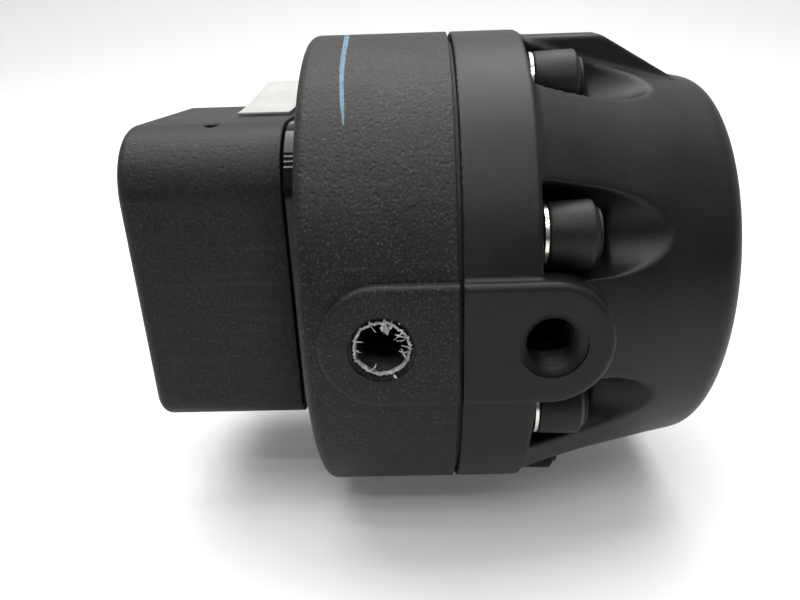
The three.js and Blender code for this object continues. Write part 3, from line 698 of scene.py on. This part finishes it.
plate = tag()
bevel(plate, 0.18, 2, 60)
place(plate, "housing", M_TAG, "nameplate", angle=40)

# ---------------------------------------------------------------- bolts, washers, caps
H = RIM_END + 0.6 + 1.2
for i, a in enumerate(BOLTS):
    c = (-BOLT_PCR * math.cos(math.radians(a)), BOLT_PCR * math.sin(math.radians(a)))
    w = lathe(
        "washer_disc_%d" % (i + 1),
        [(RIM_END + 0.3, 3.5), (RIM_END + 0.3, 7.5), (RIM_END + 0.5, 7.8), (RIM_END + 1.3, 7.8), (RIM_END + 1.5, 7.5), (RIM_END + 1.5, 3.5)],
        64, "X", c,
    )
    place(w, "housing", M_WASHER, "bolt_washer_%d" % (i + 1), angle=40)
    prof = [(H, 6.4), (H, 7.5), (H + 0.4, 7.85), (H + 6.0, 8.1), (H + 9.0, 8.2)]
    prof += arc(H + 9.6, 7.6, 0.6, 90, 45, 3)
    prof += [(H + 11.3, 6.2)] + arc(H + 11.0, 5.6, 1.0, 45, 10, 3) + [(H + 12.3, 4.0), (H + 12.45, 2.0), (H + 12.5, 0.0)]
    # the cap is open at its back: outer skin, closed end, inner bore
    outer = lathe("cap_shell_%d" % (i + 1), [(H, 0.0)] + prof[1:], 64, "X", c)
    boolean(outer, "DIFFERENCE", lathe("cb", [(H - 2, 0.0), (H - 2, 6.4), (H + 5.0, 6.4), (H + 5.0, 0.0)], 48, "X", c))
    place(outer, "housing", M_CAP, "bolt_cap_%d" % (i + 1), angle=40)

# ---------------------------------------------------------------- surface marks on the casing
def drum_point(x, deg, lift=0.0):
    """deg from the top (+Z) towards -Y."""
    t = math.radians(deg)
    return Vector((x, -(DRUM_R + lift) * math.sin(t), (DRUM_R + lift) * math.cos(t)))


def blue_mark():
    bm = bmesh.new()
    n = 40
    rows = []
    for k in range(n + 1):
        t = k / n
        deg = 2.4 + 42.1 * t
        x = -27.3 + 1.4 * t + 0.25 * math.sin(7 * t)
        wdt = (1.5 - 0.55 * t) * (0.35 + 0.65 * min(1.0, t * 14)) * (1 - 0.6 * max(0.0, (t - 0.88) / 0.12))
        row = []
        for s, l in ((-1, 0.0), (-0.8, 0.05), (0, 0.06), (0.8, 0.05), (1, 0.0)):
            j = 0.12 * noise.noise(Vector((t * 30, s * 2, 3)))
            row.append(bm.verts.new(drum_point(x + s * wdt / 2 + j * abs(s), deg, l - 0.01)))
        low = [bm.verts.new(drum_point(x + s * wdt / 2, deg, -0.12)) for s in (1, -1)]
        rows.append(row + low)
    m = len(rows[0])
    for A, B in zip(rows, rows[1:]):
        for i in range(m):
            j = (i + 1) % m
            bm.faces.new((A[i], A[j], B[j], B[i]))
    bm.faces.new(rows[0])
    bm.faces.new(rows[-1][::-1])
    return from_bm("paint_mark", bm)


place(blue_mark(), "housing", M_BLUE, slot="casing_plastic", angle=50)


def ribbon(name, pts, width, thick, side=Vector((0, 0, 1))):
    """A closed thin strip along the points (mm)."""
    bm = bmesh.new()
    rows = []
    n = len(pts)
    for i, p in enumerate(pts):
        d = (pts[min(i + 1, n - 1)] - pts[max(i - 1, 0)]).normalized()
        u = d.cross(side)
        u = u.normalized() if u.length > 1e-4 else Vector((0, 1, 0))
        v = d.cross(u).normalized()
        w = width * (0.35 + 0.65 * math.sin(math.pi * min(1.0, max(0.0, (i + 0.6) / n)))) / 2
        row = [p + u * w + v * thick, p + u * w - v * thick, p - u * w - v * thick, p - u * w + v * thick]
        rows.append([bm.verts.new(q) for q in row])
    for A, B in zip(rows, rows[1:]):
        for i in range(4):
            j = (i + 1) % 4
            bm.faces.new((A[i], A[j], B[j], B[i]))
    bm.faces.new(rows[0][::-1])
    bm.faces.new(rows[-1])
    return from_bm(name, bm)


# torn thread tape left in the air inlet: a ragged ring and loose strands
def tape_ring():
    bm = bmesh.new()
    n = 120
    rows = []
    for i in range(n):
        a = 2 * math.pi * i / n
        rag = noise.noise(Vector((math.cos(a) * 3.1, math.sin(a) * 3.1, 1.7)))
        fine = noise.noise(Vector((math.cos(a) * 14, math.sin(a) * 14, 4.2)))
        r_out = 6.75 + 0.5 * fine + 0.35 * rag
        r_in = r_out - 0.75 + 0.5 * rag * noise.noise(Vector((math.cos(a) * 6, math.sin(a) * 6, 9.1)))
        y0 = PAD_FACE + 0.75 + 0.35 * rag
        y1 = PAD_FACE + 1.9 + 0.5 * fine
        pts = [(r_out, y0 + 0.35), (r_out - 0.5, y0), (0.5 * (r_out + r_in), 0.5 * (y0 + y1) - 0.15), (r_in, y1), (r_in + 0.1, y1 + 0.12), (r_out - 0.4, y0 + 0.5)]
        rows.append([bm.verts.new((PORT_L + r * math.cos(a), y, r * math.sin(a))) for r, y in pts])
    m = len(rows[0])
    for k in range(n):
        A, B = rows[k], rows[(k + 1) % n]
        for i in range(m):
            j = (i + 1) % m
            bm.faces.new((A[i], A[j], B[j], B[i]))
    return from_bm("tape_ring", bm)


place(tape_ring(), "housing", M_TAPE, slot="pale_plastic", angle=80)
random.seed(11)
for k in range(16):
    a = random.uniform(0, 2 * math.pi)
    r = random.uniform(6.3, 7.4)
    p = Vector((PORT_L + r * math.cos(a), PAD_FACE + 1.3, r * math.sin(a)))
    d = Vector((math.cos(a + random.uniform(-1.8, 1.8)), 0, math.sin(a + random.uniform(-1.8, 1.8)))) * random.uniform(0.3, 0.6)
    pts = []
    inward = Vector((PORT_L, PAD_FACE + 2.0, 0)) - p
    for s in range(9):
        t = s / 8
        q = p + inward * (0.42 * t) + d * (2.2 * math.sin(2.2 * t + k)) + Vector((0, -0.6 * math.sin(math.pi * t), 0))
        rr = math.hypot(q.x - PORT_L, q.z)
        if rr > 7.6:
            q = Vector((PORT_L + (q.x - PORT_L) * 7.6 / rr, q.y, q.z * 7.6 / rr))
        q.y = max(q.y, PAD_FACE + 0.1)
        pts.append(q)
    place(ribbon("tape_fibre_%02d" % (k + 1), pts, random.uniform(0.35, 1.0), 0.05), "housing", M_TAPE, slot="pale_plastic", angle=60)
# one long strand that crosses the pad face, another that hangs below
strand = [Vector((PORT_L + 4.2, PAD_FACE + 0.5, 6.0)), Vector((PORT_L + 4.9, PAD_FACE + 0.06, 7.9))]
for t in (0.2, 0.4, 0.6, 0.8, 1.0):
    strand.append(Vector((PORT_L + 4.9 + 3.6 * t, PAD_FACE + 0.06, 7.9 + 4.6 * t - 1.2 * math.sin(3 * t))))
place(ribbon("tape_strand_1", strand, 0.42, 0.05, Vector((0, 1, 0))), "housing", M_TAPE, slot="pale_plastic", angle=60)
strand = [Vector((PORT_L + 2.6, PAD_FACE + 0.7, -6.6)), Vector((PORT_L + 4.2, PAD_FACE + 0.06, -8.3)), Vector((PORT_L + 5.3, PAD_FACE + 0.06, -9.7)), Vector((PORT_L + 5.2, PAD_FACE + 0.06, -11.0))]
place(ribbon("tape_strand_2", strand, 0.7, 0.05, Vector((0, 1, 0))), "housing", M_TAPE, slot="pale_plastic", angle=60)

# ---------------------------------------------------------------- stage, light, camera
FLOOR_Z = P(0, 0, -DRUM_R).z
bm = bmesh.new()
rows = []
for x in (-6.0, 6.0):
    row = []
    for y, z in [(-4.0, 0.0), (1.2, 0.0)] + [(1.2 + 1.6 * math.sin(math.radians(a)), 1.6 * (1 - math.cos(math.radians(a)))) for a in range(6, 91, 6)] + [(2.8, 5.0)]:
        row.append(bm.verts.new((x, y, z + FLOOR_Z)))
    rows.append(row)
for i in range(len(rows[0]) - 1):
    bm.faces.new((rows[0][i], rows[1][i], rows[1][i + 1], rows[0][i + 1]))
floor = from_bm("backdrop", bm)
for p in floor.data.polygons:
    p.use_smooth = True
# painted light: the backdrop glows. The glow lifts the shadows cast on the floor and makes the back wall brighter.
mf, ntf, bf, tcf = nodes_of("paper_painted_glow")
bf.inputs["Base Color"].default_value = (0.66, 0.67, 0.675, 1)
bf.inputs["Emission Color"].default_value = (0.98, 0.99, 1.0, 1)
sep = ntf.nodes.new("ShaderNodeSeparateXYZ")
ntf.links.new(tcf.outputs["Object"], sep.inputs[0])
# painted light: glow strength 0.10 on the floor around the object, rising to 0.42 on the back wall
glow = ntf.nodes.new("ShaderNodeMapRange")
glow.inputs["From Min"].default_value = 0.1
glow.inputs["From Max"].default_value = 1.4
glow.inputs["To Min"].default_value = 0.10
glow.inputs["To Max"].default_value = 0.42
ntf.links.new(sep.outputs[1], glow.inputs["Value"])
ntf.links.new(glow.outputs[0], bf.inputs["Emission Strength"])
bf.inputs["Roughness"].default_value = 0.75
floor.data.materials.append(mf)

world = bpy.data.worlds.new("w")
bpy.context.scene.world = world
world.use_nodes = True
wt = world.node_tree
bg = wt.nodes["Background"]
bg.inputs[0].default_value = (0.95, 0.975, 1.0, 1)
# the room is dark behind the camera and bright beyond the object
wc = wt.nodes.new("ShaderNodeTexCoord")
ws = wt.nodes.new("ShaderNodeSeparateXYZ")
wt.links.new(wc.outputs["Generated"], ws.inputs[0])
wm = wt.nodes.new("ShaderNodeMapRange")
wm.inputs["From Min"].default_value = -0.55
wm.inputs["From Max"].default_value = 0.75
wm.inputs["To Min"].default_value = 0.02
wm.inputs["To Max"].default_value = 0.95
wt.links.new(ws.outputs[1], wm.inputs["Value"])
wt.links.new(wm.outputs[0], bg.inputs[1])


def area(name, loc, target, sx, sy, energy, color=(1, 1, 1)):
    l = bpy.data.lights.new(name, "AREA")
    l.shape = "RECTANGLE"
    l.size, l.size_y = sx, sy
    l.energy = energy
    l.color = color
    o = bpy.data.objects.new(name, l)
    bpy.context.scene.collection.objects.link(o)
    o.location = loc
    d = Vector(target) - Vector(loc)
    o.rotation_euler = d.to_track_quat("-Z", "Y").to_euler()
    return o


MID = P(0, 0, 0)
area("top_soft", (MID.x - 0.1, MID.y + 0.35, MID.z + 1.5), MID, 1.8, 1.4, 44, (1.0, 0.985, 0.96))
area("front_fill", (MID.x + 0.2, MID.y - 1.6, MID.z + 0.9), MID, 1.4, 0.9, 0.8, (0.97, 0.98, 1.0))
for k, (dy, dz) in enumerate(((-0.55, 1.30), (-0.72, 1.16), (-0.88, 1.0))):
    area("strip_%d" % k, (MID.x - 0.1, MID.y + dy, MID.z + dz), MID, 1.5, 0.035, 4.0)

cam = bpy.data.cameras.new("camera")
camo = bpy.data.objects.new("camera", cam)
bpy.context.scene.collection.objects.link(camo)
bpy.context.scene.camera = camo
CX, CY, CZ = -9.587, -212.212, 64.125
YAW, PITCH, ROLL, F, PX, PY = -0.023476, -0.435603, -0.032688, 696.69, 405.0, 364.0
fwd = Vector((math.sin(YAW) * math.cos(PITCH), math.cos(YAW) * math.cos(PITCH), math.sin(PITCH)))
rgt = Vector((math.cos(YAW), -math.sin(YAW), 0))
up = rgt.cross(fwd)
r2 = rgt * math.cos(ROLL) + up * math.sin(ROLL)
u2 = -rgt * math.sin(ROLL) + up * math.cos(ROLL)
m3 = Matrix((r2, u2, -fwd)).transposed()
camo.matrix_world = Matrix.Translation(P(CX, CY, CZ)) @ m3.to_4x4()
cam.sensor_width = 36
cam.lens = F * 36 / 800
cam.shift_x = (400 - PX) / 800
cam.shift_y = (PY - 300) / 800
cam.clip_start = 0.005
cam.clip_end = 50

vs = bpy.context.scene.view_settings
vs.view_transform = "Standard"
vs.look = "None"
